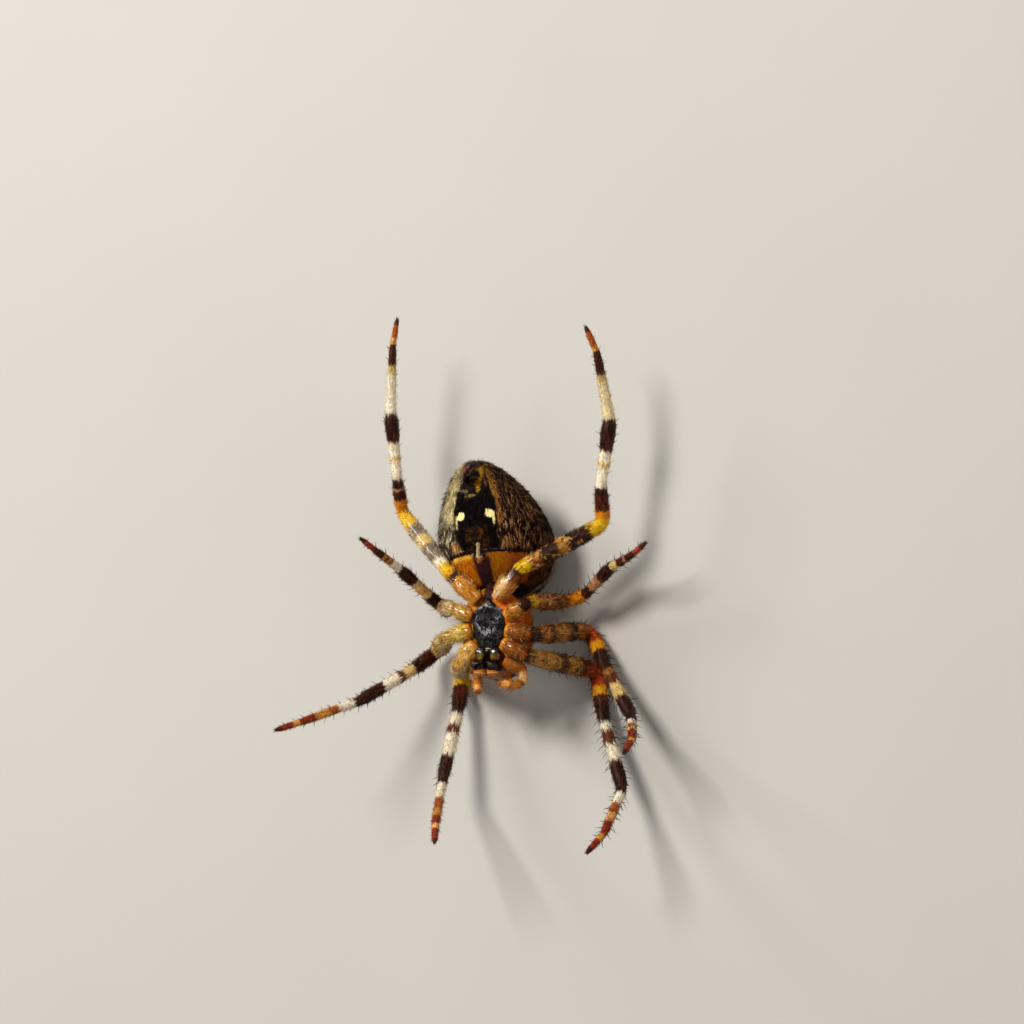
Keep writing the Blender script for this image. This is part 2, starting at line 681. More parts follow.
def leg_material(leg):
    material, tree, shader = new_material(
        leg + "_skin", Subsurface_Weight=0.2, Subsurface_Scale=0.15 * MM,
        Subsurface_Radius=(1.0, 0.5, 0.15), Coat_Roughness=0.12, Specular_IOR_Level=0.1,
    )
    left = leg.endswith("left")
    place = object_place(tree)
    measure = read(tree, "measure")
    along, across, _ = parts(measure)
    strands = own_grain(stretched(measure, (1.6, 4.2, 4.2)), 1.0, 4.0, 0.7)
    edge = wandering(along + (strands - 0.5) * 0.3, place, 14, 0.07)
    colour = add_node(tree, "Group", {"Along": edge}, "Color", node_tree=marks_of_leg[leg])

    # femora are clouded with dark brown and gold
    on_thigh = stripe(along, 1.04, 1.9, 0.05)
    freckles = rise(grain(place, 2.6, 5.0, 0.7), 0.5, 0.6) * on_thigh
    colour = lay(freckles * (0.3 if left else 0.85), colour, DARK_BROWN)
    glow = rise(grain(place, 2.1, 4.0, 0.65), 0.53, 0.63) * on_thigh
    colour = lay(glow * (0.5 if left else 0.8), colour, PALE if left else "c48e46")

    # beyond the knee, pale bands have faint brown specks and black ones a rusty bloom
    on_shin = rise(along, 2.0, 2.2)
    specks = blotches(stretched(measure, (5.0, 6.0, 6.0)), 1.0, 0.52, 0.64, 4.0, 0.7)
    colour = lay(specks * on_shin * 0.5, colour, "7a5228")
    colour = lay(rise(strands, 0.46, 0.62) * on_shin * 0.5, colour, "6e2c18", "LIGHTEN")
    colour = lay(rise(strands, 0.49, 0.41) * rise(along, 4.1, 4.4) * 0.7, colour, DARK_RED)

    # coxae have creases and pale lines along them
    on_coxa = rise(along, 1.5, 1.15) if leg in CREASED_HIPS else rise(along, 1.0, 0.7)
    lines = own_grain(stretched(measure, (3.6, 3.4, 3.4)), 1.0, 4.0, 0.6)
    creases = rise(lines, 0.54, 0.64) * on_coxa * 0.65
    colour = lay(creases, colour, "6a3a0a" if left else "54260a")
    pale_lines = rise(lines, 0.46, 0.36) * on_coxa * (0.5 if left else 0.35)
    colour = lay(pale_lines, colour, "f2dcae" if left else "e0a45a")
    if leg == "leg_4_right":
        colour = lay(rise(across, -0.2, -0.75) * on_coxa * 0.8, colour, "b25606")
        colour = lay(stripe(across, -0.2, 0.6, 0.25) * on_coxa * 0.4, colour, "e9c6b0")
    if leg in CREASED_HIPS:
        folds = rise(grain(place, 4.5, 3.0, 0.5), 0.5, 0.56) * stripe(along, 0.7, 1.5, 0.1)
        colour = lay(folds * 0.6, colour, "76521a")

    plug(shader["Base Color"], shaded(colour, place, 9, 0.62, 1.3))
    wet = on_coxa * (0.7 if left or leg == "leg_4_right" else 0.3)
    plug(shader["Coat Weight"], maths("MAXIMUM", wet, on_thigh * (0.5 if left else 0.14)))
    finish_shell(shader, place, 0.42, 0.25, 0.035, lines * on_coxa * 3.0, 0.7)
    return material


print("creased hips:", len(CREASED_HIPS))

# %% Skins of the legs
LEG_PARTS = ("coxa", "femur", "tibia", "foot")
LEG_SIDES = 24
FOLD_PLACES = (0, 0.9, 1.1, 1.9, 2.2, 6)
FOLD_DEPTHS = (0.05, 0.05, 0.02, 0.02, 0.012, 0.006)
for leg, axis in leg_axes.items():
    bm = sleeve(axis, leg_radii[leg], LEG_SIDES)
    folds = np.interp(axis.along, FOLD_PLACES, FOLD_DEPTHS)
    wrinkle(bm, 2.4, lambda vert: folds[vert.index // LEG_SIDES])
    nodes = [f"{leg}_{part}" for part in LEG_PARTS]
    skin = new_piece(leg + "_skin", bm, leg_material(leg), nodes)
    measures = axis.measures(LEG_SIDES)
    corners = np.array([v.co for v in skin.data.vertices]).reshape(measures.shape)
    outward = unit(corners - corners.mean(1, keepdims=True))
    measures[:, :, 1] = (outward * axis.side[:, None]).sum(2)
    measures[:, :, 2] = (outward * axis.up[:, None]).sum(2)
    remember(skin, "measure", measures)
    print(skin.name, len(skin.data.polygons), "faces")

# %% [markdown]
# ## Rounded body parts
#
# The abdomen, the carapace, the jaws and the plates of the mouth are all a ball pushed into a
# shape. A ball has even faces and no open edge, so a rule that says where each of its points
# goes is enough. Each point also remembers where on the ball it came from, which is a handy
# map for markings: the poles of the ball are the head end and the tail end.

# %% A ball and a rule


def shaped_ball(around, rings, rule):
    """A ball of radius 1 whose points go where the rule says, and the ball's own points."""
    bm = bmesh.new()
    turn = Matrix.Rotation(-math.pi / 2, 4, "X")
    bmesh.ops.create_uvsphere(bm, u_segments=around, v_segments=rings, radius=1, matrix=turn)
    ball = np.array([v.co for v in bm.verts])
    for vert, place in zip(bm.verts, rule(ball)):
        vert.co = spot(*place)
    bm.normal_update()
    bmesh.ops.recalc_face_normals(bm, faces=bm.faces)
    return bm, ball


def egg_shape(centre, half):
    return lambda ball: np.array(centre) + ball * np.array(half)


def smooth(low, high, values):
    t = np.clip((values - low) / (high - low), 0, 1)
    return t * t * (3 - 2 * t)


def round_angle(ball):
    """Degrees round the body from the middle of the belly."""
    return np.degrees(np.arctan2(ball[:, 0], ball[:, 2]))


print("half way up a smooth step:", smooth(0, 1, 0.5))

# %% [markdown]
# ## Abdomen: the skin
#
# The abdomen is an egg with its blunt end over the waist and two faint shoulder humps on its
# back, which is underneath here. It rests on a small flat. Seen from the belly side there is a
# furrow across it, the covers of the two book lungs in front of the furrow, and a raised rim
# round the spinnerets at the rear.

# %% Shape of the abdomen
COAT_DEPTH = 0.06
ABDOMEN_MIDDLE = 5.11
ABDOMEN_HALF = (3.2, 3.98, 2.78)
ABDOMEN_TAPER = 0.24
ABDOMEN_OVERHANG = 0.85
ABDOMEN_SHOULDER = 0.06
ABDOMEN_TURN = math.radians(7.2)
WAIST = (-0.35, 2.4)
FURROW_AT = -0.44
LUNG_AT = (-0.6, 42.0)


def abdomen_shape(ball, grow=-COAT_DEPTH):
    x, y, z = ball.T
    swell = 1 - ABDOMEN_TAPER * y
    hump = 1 + ABDOMEN_SHOULDER * np.exp(-(((y + 0.3) / 0.35) ** 2)) * np.maximum(0, -z)
    sag = np.where(y < -0.15, 0.35, 1.15) * (y + 0.15) ** 2
    aside = np.abs(round_angle(ball))
    furrow = 0.09 * np.exp(-(((y - FURROW_AT) / 0.03) ** 2)) * (1 - smooth(45, 80, aside))
    lung = np.exp(-(((y - LUNG_AT[0]) / 0.1) ** 2) - ((aside - LUNG_AT[1]) / 26) ** 2)
    relief = grow - furrow + 0.05 * lung
    flat_x = x * (ABDOMEN_HALF[0] * swell * hump + relief)
    flat_y = ABDOMEN_MIDDLE - WAIST[1] + y * (ABDOMEN_HALF[1] + grow) + z * ABDOMEN_OVERHANG
    flat_z = -2.9 + sag + z * (ABDOMEN_HALF[2] * swell + relief)
    c, s = math.cos(ABDOMEN_TURN), math.sin(ABDOMEN_TURN)
    return np.stack([
        WAIST[0] + flat_x * c - flat_y * s, WAIST[1] + flat_x * s + flat_y * c,
        np.maximum(flat_z, FLOOR),
    ], 1)


print("abdomen's half sizes:", ABDOMEN_HALF, "mm")

# %% [markdown]
# ## Abdomen: the markings
#
# The belly has a black field with two cream commas, and a golden band along each side of it.
# In front of the furrow lie the orange lung covers. The flanks are dark brown with wavy pale
# streaks, and the back carries the leaf mark with its scalloped edge and the white cross. The
# group reads the ball's own map, so the hairs can wear the same marks. An angle in it counts
# degrees from the middle of the belly, positive to the right, and tail goes from -1 to 1.

# %% Flanks and back
abdomen_marks, (ball,), result = new_group("abdomen_marks", {"Ball": "Vector"}, {"Color": "Color"})
ball_x, ball_y, ball_z = parts(ball)
turned = maths("ARCTAN2", ball_x, ball_z) * DEGREES
away = abs(turned)
fine_wobble = own_grain(ball, 16.0) - 0.5
angle = away + (own_grain(ball, 5.0) - 0.5) * 14.0
tail = ball_y + fine_wobble * 0.05
on_left = rise(ball_x, 0.1, -0.4)

# wavy streaks of the flanks, drawn out along the body
wave = turned + (own_grain(ball, 2.5, 1.0) - 0.5) * 22.0
streak_map = add_node(abdomen_marks, "CombineXYZ", {0: wave * 0.6, 1: ball_y * 6.5})
clouds = 0.35 + blotches(ball, 2.6, 0.38, 0.6) * 0.65
streaks = blotches(streak_map, 1.0, 0.52, 0.59, 4.0, 0.7) * clouds
flank, flank_streak = lay(on_left, "180a0b", "36221a"), lay(on_left, "cc945e", "fff2cc")
colour = lay(streaks * 0.95, flank, flank_streak)
lit = stripe(turned, -46.0, -24.0, 8.0) * rise(ball_y, -0.1, 0.15)
lit = lit * blotches(streak_map, 0.8, 0.46, 0.52, 4.0, 0.7)
colour = lay(lit * 0.8, colour, "f7e6a6")
colour = lay(rise(away, 55.0, 100.0) * 0.45, colour, "1f120d")

# the back: a leaf mark with a scalloped pale edge
from_edge = away - (128.0 + (maths("SINE", tail * 17.0) * 5.0 + tail * 22.0))
leaf = rise(from_edge, -1.0, 2.0)
colour = lay(leaf, colour, "43290f")
colour = lay(stripe(from_edge, -9.0, -1.0, 2.0) * 0.8, colour, "c9ae7c")
colour = lay(blotches(ball, 11.0, 0.5, 0.62, 4.0) * (leaf * 0.6), colour, TAN)

# the white cross: one long bar and one short one, made of drops
drops = rise(own_grain(ball, 14.0, 2.0) + 0.12, 0.5, 0.58)
long_bar = rise(away, 173.0, 176.0) * stripe(ball_y, -0.72, 0.15, 0.04)
short_bar = rise(away, 155.0, 159.0) * stripe(ball_y, -0.4, -0.32, 0.025)
colour = lay(maths("MAXIMUM", long_bar, short_bar) * drops, colour, "f2ead2")
print("nodes in the abdomen's marks so far:", len(abdomen_marks.nodes))

# %% The belly's black field with its gold
gold_place = away - ball_y * 6.0 + fine_wobble * 22.0
gold_band = stripe(gold_place, 21.5, 28.0, 2.5) * stripe(tail, -0.08, 0.84, 0.1)
gold_band = gold_band * (0.15 + blotches(streak_map, 0.9, 0.44, 0.53, 4.0, 0.7) * 0.85)
gold_tone = lay(rise(tail, 0.45, 0.7), lay(on_left, "cc8c3c", "f6e09a"), "9c6a1c")
colour = lay(gold_band * 0.85, colour, gold_tone)
field_edge = angle - remap(ball_y, -0.4, -0.05, -5.0, 3.5) * on_left
colour = lay(rise(field_edge, 26.0, 21.0) * stripe(tail, -0.43, 0.5, 0.03), colour, "080303")
middle = rise(away, 14.0, 10.0) * stripe(tail, -0.42, -0.12, 0.04)
middle = middle * blotches(ball, 20.0, 0.46, 0.6, 4.0, 0.7)
colour = lay(middle * 0.75, colour, "5c3516")
side_gold = stripe(field_edge, 25.0, 36.0, 3.0) * stripe(tail, -0.43, -0.28, 0.04)
side_gold = side_gold * (0.35 + streaks * 0.6)
colour = lay(side_gold, colour, lay(on_left, "a8743e", "e8a04a"))

# a pale fold before the spinnerets on the left, gold round them on the right, and a short bar
fold = stripe(tail - away * 0.0045, 0.355, 0.415, 0.015) * stripe(turned, -30.0, -8.0, 3.0)
colour = lay(fold * 0.9, colour, "a3976c")
ring_y = ball_y - 0.56
ring_out = maths("SQRT", ball_x ** 2.0 + ring_y ** 2.0) + fine_wobble * 0.08
ring_turn = maths("ARCTAN2", ring_y, ball_x) * DEGREES
ring_gold = stripe(ring_out, 0.13, 0.195, 0.02) * stripe(ring_turn, -66.0, 40.0, 6.0)
ring_gold = ring_gold * blotches(ball, 15.0, 0.36, 0.56, 3.0, 0.6)
bar_size = remap(turned, -12.0, 4.0, -1.0) ** 2.0 + ((ball_y - 0.342) * 38.0) ** 2.0
colour = lay(rise(bar_size, 1.1, 0.7) * 0.8, colour, "8a7044")

# the two cream commas: a blob and a tail that curls outwards
ragged = own_grain(ball, 30.0, 4.0, 0.7) - 0.5
blob_size = maths("SQRT", ((away - 16.0) * 0.0125) ** 2.0 + (tail - 0.06) ** 2.0)
blob = rise(blob_size + fine_wobble * 0.07 + ragged * 0.07, 0.066, 0.05)
past_tail = abs(away - (19.6 + on_left * 2.5)) - (1.3 + ball_y * 9.0 + ragged * 6.0)
comma_tail = rise(past_tail, 0.6, -0.3) * stripe(tail, -0.1, 0.08, 0.02)
colour = lay(maths("MAXIMUM", blob, comma_tail * 0.85), colour, "efdf9c")
print("nodes in the abdomen's marks so far:", len(abdomen_marks.nodes))

# %% Lung covers, neck and spinnerets' rim
amber = lay(blotches(ball, 7.0, 0.42, 0.6, 4.0), "5c300c", "361809")
colour = lay(rise(tail, -0.46, -0.49) * rise(away, 95.0, 75.0), colour, amber)
lung_tone = lay(rise(turned, -10.0, 10.0), "b8660a", "905808")
lung_streaks = blotches(streak_map, 0.6, 0.5, 0.62, 4.0, 0.6) * 0.45
lung_tone = lay(lung_streaks, lung_tone, "6a3206")
lung_edge = rise(tail, -0.56, -0.49) * rise(turned, 5.0, -5.0)
lung_tone = lay(lung_edge * 0.85, lung_tone, "eab03a")
lung_tone = lay(rise(turned, 16.0, 38.0), lung_tone, "8e4414")
lung_tone = lay(rise(turned, -30.0, -55.0), lung_tone, "70340e")
lungs = stripe(away, 9.0, 60.0, 4.0) * stripe(tail, -0.84, -0.475, 0.02)
colour = lay(lungs, colour, lung_tone)
neck = rise(tail, -0.5, -0.56) * stripe(turned, -8.0, 11.0, 2.5)
colour = lay(neck, colour, "2c1517")
neck_end = rise(ball_y, -0.8, -0.86) * rise(turned, -16.0, -8.0) * rise(angle, 92.0, 64.0)
colour = lay(neck_end, colour, "241012")
colour = lay(stripe(ball_y, -0.47, -0.42, 0.008) * rise(away, 60.0, 45.0), colour, BLACK)
glint = stripe(ball_y, -0.44, -0.428, 0.006) * stripe(turned, 1.0, 27.0, 6.0)
glint = glint * blotches(ball, 22.0, 0.36, 0.6)
colour = lay(glint * 0.8, colour, "8a8b92")

# dark skin round the spinnerets
colour = lay(stripe(tail, 0.44, 0.86, 0.04) * rise(angle, 21.0, 15.0), colour, "1a0f0b")
colour = lay(ring_gold, colour, "b07f1c")
plug(result["Color"], colour)
print("nodes in the abdomen's marks:", len(abdomen_marks.nodes))

# %% The abdomen's shader and skin


def marked_skin(name, group, roughness, scatter, depth):
    material, tree, shader = new_material(
        name, Subsurface_Weight=scatter, Subsurface_Scale=0.2 * MM,
        Subsurface_Radius=(1.0, 0.5, 0.25), Coat_Roughness=0.25, Specular_IOR_Level=0.03,
    )
    place = object_place(tree)
    colour = add_node(tree, "Group", {"Ball": read(tree, "ball")}, "Color", node_tree=group)
    plug(shader["Base Color"], shaded(colour, place, 9, 0.65, 1.25))
    finish_shell(shader, place, roughness, 0.3, depth)
    return material


bm, ball = shaped_ball(144, 96, abdomen_shape)
wrinkle(bm, 1.3, lambda vert: 0.03 * (vert.co.z > 0.2 * MM))
abdomen_hide = marked_skin("abdomen_hide", abdomen_marks, 0.5, 0.08, 0.06)
abdomen_skin = new_piece("abdomen_skin", bm, abdomen_hide, ["abdomen"])
remember(abdomen_skin, "ball", ball)
print("abdomen:", len(abdomen_skin.data.polygons), "faces")

# %% [markdown]
# ## Carapace
#
# The carapace covers the front half of the body: a broad chest with a dimple in its middle and
# a narrower head. A groove on each side parts the head from the chest. Its back is underneath
# here, and is brown with a paler band and edge; what shows from the belly side is the deep
# orange margin between the legs.

# %% Shape of the carapace
CARAPACE_MIDDLE = -0.75
CARAPACE_HALF_LENGTH = 2.42
CHEST_HALF_WIDTH = 2.1
HEAD_HALF_WIDTH = 1.12


def carapace_shape(ball, grow=-0.03):
    x, y, z = ball.T
    chest = smooth(-0.75, -0.05, y)
    blunt = np.sqrt(np.maximum(0, 1 - y ** 4)) / np.maximum(np.hypot(x, z), 1e-6)
    half_width = HEAD_HALF_WIDTH + (CHEST_HALF_WIDTH - HEAD_HALF_WIDTH) * chest
    middle = -2.0 + 0.45 * chest
    depth = np.where(z > 0, 0.5 + 0.16 * chest, 0.85 + 0.45 * chest)
    wide = x * blunt
    groove = np.exp(-(((y + 0.42 + 0.25 * (1 - np.abs(wide))) / 0.05) ** 2)) * 0.07
    dimple = 0.2 * np.exp(-((wide / 0.1) ** 2) - ((y - 0.12) / 0.13) ** 2)
    dent = (groove + dimple) * smooth(0.1, 0.7, -z * blunt)
    return np.stack([
        wide * (half_width + grow),
        CARAPACE_MIDDLE + y * (CARAPACE_HALF_LENGTH + grow),
        middle + z * blunt * (depth + grow - dent),
    ], 1)


print("carapace:", 2 * CARAPACE_HALF_LENGTH, "mm long")

# %% The carapace's marks and skin
carapace_marks, (ball,), result = new_group(
    "carapace_marks", {"Ball": "Vector"}, {"Color": "Color"},
)
ball_x, ball_y, ball_z = parts(ball)
wide = abs(ball_x) + (own_grain(ball, 6.0, 4.0) - 0.5) * 0.22
colour = lay(stripe(wide, 0.28, 0.72, 0.06), "9a6a34", "4a2c16")
colour = lay(rise(wide, 0.16, 0.1) * rise(ball_y, 0.3, 0.1), colour, "5c3a1c")
plug(result["Color"], lay(rise(ball_z, -0.3, 0.0), colour, "b0580a"))

bm, ball = shaped_ball(112, 80, carapace_shape)
carapace_shell = marked_skin("carapace_shell", carapace_marks, 0.38, 0.1, 0.02)
carapace_skin = new_piece("carapace_shell", bm, carapace_shell, ["carapace"])
remember(carapace_skin, "ball", ball)
print("carapace:", len(carapace_skin.data.polygons), "faces")

# %% [markdown]
# ## Breast, sternum and waist
#
# Soft orange skin joins the roots of the legs to the carapace. It is modelled as one low mound
# that the coxae grow from. On it lies the sternum, a heart-shaped plate, black with a net of
# silvery lines and a crowned middle. The waist is the short dark stalk behind it.

# %% Shapes of the breast and the sternum
STERNUM_DEPTH = 0.3
COXA_SPACING = 0.75


def sternum_half_width(y):
    """Half the sternum's width at a place along it, with small points between the coxae."""
    at = (-1.27, -1.2, -0.95, -0.6, -0.2, 0.2, 0.55, 0.83, 0.98, 1.13, 1.3, 1.44, 1.5)
    wide = (0.42, 0.54, 0.74, 0.88, 0.93, 0.93, 0.88, 0.78, 0.58, 0.38, 0.22, 0.1, 0.0)
    points = 0.06 * np.maximum(0, np.cos(2 * math.pi * (y - 0.84) / COXA_SPACING)) ** 10
    return np.interp(y, at, wide) + points * (y < 1.1)


def sternum_shape(ball):
    x, y, z = ball.T
    along = np.degrees(np.arcsin(np.clip(y, -1, 1))) / 90
    length_at = np.sign(y) * np.abs(np.sin(np.radians(np.abs(along) * 90))) ** 0.9
    place_y = 0.115 + length_at * 1.385
    ring = np.maximum(np.hypot(x, z), 1e-6)
    side, top = x / ring, z / ring
    # across it is a rounded rectangle: flat above and below, with a soft rim
    across = np.sign(side) * np.abs(side) ** 0.55
    height = np.sign(top) * np.abs(top) ** 0.8
    crown = 0.09 * np.abs(across) ** 3 + 0.05 * np.abs(length_at) ** 3
    waves = np.maximum(0, np.cos(2 * math.pi * (place_y - 0.46) / COXA_SPACING))
    crown += 0.03 * waves * np.abs(across) ** 2
    thick = STERNUM_DEPTH / 2 * (1 - 0.55 * np.abs(length_at) ** 8)
    return np.stack([
        across * sternum_half_width(place_y),
        place_y,
        -STERNUM_DEPTH / 2 + height * thick - crown,
    ], 1)


def breast_shape(ball):
    x, y, z = ball.T
    high = np.sign(z) * np.abs(z) ** 0.6
    return np.stack([x * 1.8, 0.05 + y * 2.0, -1.0 + high * 0.72 * (1 - 0.1 * np.abs(x))], 1)


print("sternum's widest half:", round(float(sternum_half_width(0.0)), 2), "mm")

# %% Materials of the breast and the dark parts


def plain_shell(name, tones, per_mm, roughness, scatter=0.0, coat=0.0, gloss=0.25):
    """A shell of one hue that wanders between two colours."""
    material, tree, shader = new_material(
        name, Subsurface_Weight=scatter, Subsurface_Scale=0.2 * MM,
        Subsurface_Radius=(1.0, 0.45, 0.15), Coat_Weight=coat, Coat_Roughness=0.15,
        Specular_IOR_Level=gloss,
    )
    place = object_place(tree)
    mask = rise(grain(place, per_mm, 4.0, 0.6), 0.38, 0.64)
    plug(shader["Base Color"], lay(mask, *tones))
    finish_shell(shader, place, roughness)
    return material


def breast_material():
    """Soft flesh, golden on the left, orange on the right and dark where the waist begins."""
    material, tree, shader = new_material(
        "breast_flesh", Subsurface_Weight=0.1, Subsurface_Scale=0.2 * MM, Specular_IOR_Level=0.1,
    )
    place = object_place(tree)
    across, along, _ = parts(place)
    on_right = rise(across, ZERO.x - 0.2 * MM, ZERO.x + 0.8 * MM)
    tone, deeper = lay(on_right, "c47e10", "d46806"), lay(on_right, "a85e08", "b04804")
    tone = lay(rise(grain(place, 2.2, 4.0, 0.6), 0.38, 0.64), tone, deeper)
    strip = rise(abs(across - (ZERO.x - 0.1 * MM)), 0.42 * MM, 0.2 * MM)
    behind = rise(along, ZERO.y + 1.1 * MM, ZERO.y + 1.5 * MM)
    colour = lay(strip * behind, tone, "2a120e")
    plug(shader["Base Color"], shaded(colour, place, 7, 0.7, 1.25))
    finish_shell(shader, place, 0.45, 0.2, 0.04)
    return material


waist_flesh = plain_shell("waist_flesh", ("1c0c0a", "38201a"), 3.0, 0.75, gloss=0.03)
black_shell = plain_shell("black_shell", ("0b0707", "1e1210"), 5.0, 0.3, coat=0.3)
print("materials so far:", len(bpy.data.materials))

# %% The sternum's material


def sternum_material():
    """Black, with silvery strokes on a vee in the middle and on a collar at the rear."""
    material, tree, shader = new_material(
        "sternum_plate", Coat_Weight=0.25, Coat_Roughness=0.12, Specular_IOR_Level=0.04,
    )
    place = object_place(tree)
    across, along, _ = parts(read(tree, "ball"))
    aside = abs(across)
    vee = rise(abs(along - (aside * 0.9 - 0.32)), 0.3, 0.03) * rise(aside, 0.85, 0.4)
    collar = rise(abs(along - (0.72 - aside * 0.3)), 0.18, 0.02)
    silvery = maths("MAXIMUM", vee, collar) * 0.85 + 0.12
    ridge = abs(grain(stretched(place, (1.0, 0.6, 1.0)), 2.9, 5.0, 0.75) - 0.5)
    strokes = rise(ridge, 0.045, 0.01) * rise(grain(place, 2.0), 0.36, 0.56)
    collar = collar * rise(grain(place, 3.5, 4.0, 0.7), 0.36, 0.6)
    colour = lay(collar * 0.75, "030203", "5a6878")
    plug(shader["Base Color"], lay(silvery * strokes, colour, "b4b4be"))
    rough = grain(place, 4.0, 6.0, 0.75)
    bump = add_node(tree, "Bump", {"Height": rough, "Distance": 0.2 * MM, "Strength": 0.9})
    plug(shader["Normal"], bump)
    plug(shader["Coat Normal"], bump)
    plug(shader["Roughness"], remap(rough, 0.0, 1.0, 0.22, 0.5))
    return material


print("the sternum's shader is ready")

# %% Skins of the breast, the sternum and the waist
bm, ball = shaped_ball(96, 64, breast_shape)
wrinkle(bm, 1.8, lambda vert: 0.07)
new_piece("breast_skin", bm, breast_material())

bm, ball = shaped_ball(112, 88, sternum_shape)
wrinkle(bm, 3.2, lambda vert: 0.035)
sternum_plate = new_piece("sternum_plate", bm, sternum_material(), ["sternum"])
remember(sternum_plate, "ball", ball)

WAIST_JOINTS = ((0, 1.0, -1.25), (-0.16, 2.0, -1.2), (-0.4, 3.2, -1.5))
waist_axis = Axis([Vector(joint) for joint in WAIST_JOINTS], (2.0,), 0.1)
bm = sleeve(waist_axis, np.full(len(waist_axis.run), 0.34), 24)
new_piece("waist_skin", bm, waist_flesh, ["waist"])
print("sternum and waist made")

# %% [markdown]
# ## Mouth parts
#
# In front of the sternum come the labium, a small dark lip with a pale edge, and the two
# maxillae beside it, glossy and yellow. The chelicerae are a pair of stout cones that hang
# forward and down; their dark ends, with the folded fangs, point at the viewer of the belly.

# %% Shapes of the mouth parts
CHELICERA_CENTRE = (0.4, -2.42, -0.5)
CHELICERA_HALF = (0.4, 0.57, 0.92)
FANG_START = (0.72, -2.28, 0.42)
FANG_END = (0.12, -2.0, 0.44)
MAXILLA_CENTRE = (0.44, -1.62, -0.16)
MAXILLA_HALF = (0.32, 0.42, 0.28)
LABIUM_CENTRE = (0.0, -1.46, -0.24)
LABIUM_HALF = (0.25, 0.21, 0.29)


def blocky(ball, power):
    """A ball pressed towards a box with round corners."""
    return np.sign(ball) * np.abs(ball) ** power


def chelicera_shape(sign):
    """A stout cone, square in section with a domed front, that is flat where it meets its twin."""

    def rule(ball):
        x, y, z = blocky(ball, 0.6).T
        slim = 1 - 0.1 * np.maximum(0, z)
        bowed = 1 - (0.14 * np.maximum(0, x) ** 2 + 0.24 * np.abs(z) ** 2.5) * (y < 0)
        place = np.stack([x * slim * 1.06, y * slim * bowed, z], 1) * np.array(CHELICERA_HALF)
        place += np.array(CHELICERA_CENTRE)
        place[:, 0] = np.maximum(place[:, 0], 0.008)
        return place * (sign, 1, 1)

    return rule


def maxilla_shape(sign):
    """A short lobe, broad and flat on top, that leans towards the lip."""

    def rule(ball):
        x, y, z = blocky(ball, 0.92).T
        place = np.stack([sign * (x - 0.1 * z), y, z], 1) * np.array(MAXILLA_HALF)
        return place + np.array(MAXILLA_CENTRE) * (sign, 1, 1)

    return rule


print("jaws:", 2 * CHELICERA_HALF[2], "mm long")

# %% Materials of the mouth parts


def chelicera_material():
    """Streaked amber with a paler band on its front, black towards the fang."""
    material, tree, shader = new_material(
        "chelicera_shell", Subsurface_Weight=0.15, Subsurface_Scale=0.2 * MM, Coat_Weight=0.12,
        Coat_Roughness=0.15, Specular_IOR_Level=0.12,
    )
    place = object_place(tree)
    across, along, above = parts(read(tree, "ball"))
    front = wandering(along, place, 4.0, 0.25)
    tip = wandering(above, place, 4.0, 0.3)
    colour = lay(rise(tip, -0.7, 0.3), "5a2a10", "6e380f")
    streaks = rise(grain(stretched(place, (1.0, 1.0, 0.3)), 6.0, 4.0, 0.65), 0.45, 0.6)
    colour = lay(streaks * 0.6, colour, "94581f")
    colour = lay(rise(front, -1.08, -0.55) * rise(front, 0.14, -0.14), colour, "b06c2a")
    light_line = stripe(along, -0.4, -0.32, 0.04) * rise(tip, 0.3, 0.6)
    colour = lay(light_line * 0.8, colour, "f0b878")
    patch = rise(across, 0.3, 0.7) * stripe(tip, -0.1, 0.6, 0.2)
    colour = lay(patch * 0.6, colour, "6e4440")
    behind_shore = front - remap(across, -0.6, 0.6, -0.06, -0.18)
    colour = lay(rise(behind_shore, 0.0, 0.08) * rise(tip, -0.1, 0.3), colour, "0b0505")
    ember = stripe(front, 0.0, 0.5, 0.2) * rise(across, 0.2, -0.5) * rise(tip, 0.3, 0.6)
    plug(shader["Base Color"], lay(ember * 0.12, colour, "6e2a1c"))
    finish_shell(shader, place, 0.26, 0.2, 0.02)
    return material


def maxilla_material():
    """Black where it is rooted, yellow towards the mouth and glossy."""
    material, tree, shader = new_material(
        "maxilla_plate", Subsurface_Weight=0.1, Subsurface_Scale=0.2 * MM, Coat_Weight=0.6,
        Coat_Roughness=0.1, Specular_IOR_Level=0.1,
    )
    place = object_place(tree)
    across, along, above = parts(read(tree, "ball"))
    tone = lay(rise(wandering(across, place, 4.0, 0.5), -0.1, 0.6), "6b5a18", "5a300c")
    colour = lay(rise(wandering(along, place, 5.0, 0.7), 0.35, -0.25), "0d0908", tone)
    rim = rise(wandering(above, place, 5.0, 0.6), 0.45, 0.1)
    colour = lay(rim * 0.5, colour, "20130a")
    colour = lay(rise(wandering(across, place, 5.0, 0.5), -0.3, -0.7), colour, "120a07")
    plug(shader["Base Color"], shaded(colour, place, 7, 0.5, 1.6))
    finish_shell(shader, place, 0.3, 0.1, 0.05)
    return material


def labium_material():
    """Dark, with a pale edge towards the sternum."""
    material, tree, shader = new_material("labium_shell", Specular_IOR_Level=0.25, Coat_Weight=0.3)
    place = object_place(tree)
    along = wandering(parts(read(tree, "ball"))[1], place, 6, 0.3)
    plug(shader["Base Color"], lay(rise(along, 0.55, 0.75), "0d0908", "c9b98a"))
    finish_shell(shader, place, 0.3)
    return material


print("shaders of the mouth parts are ready")

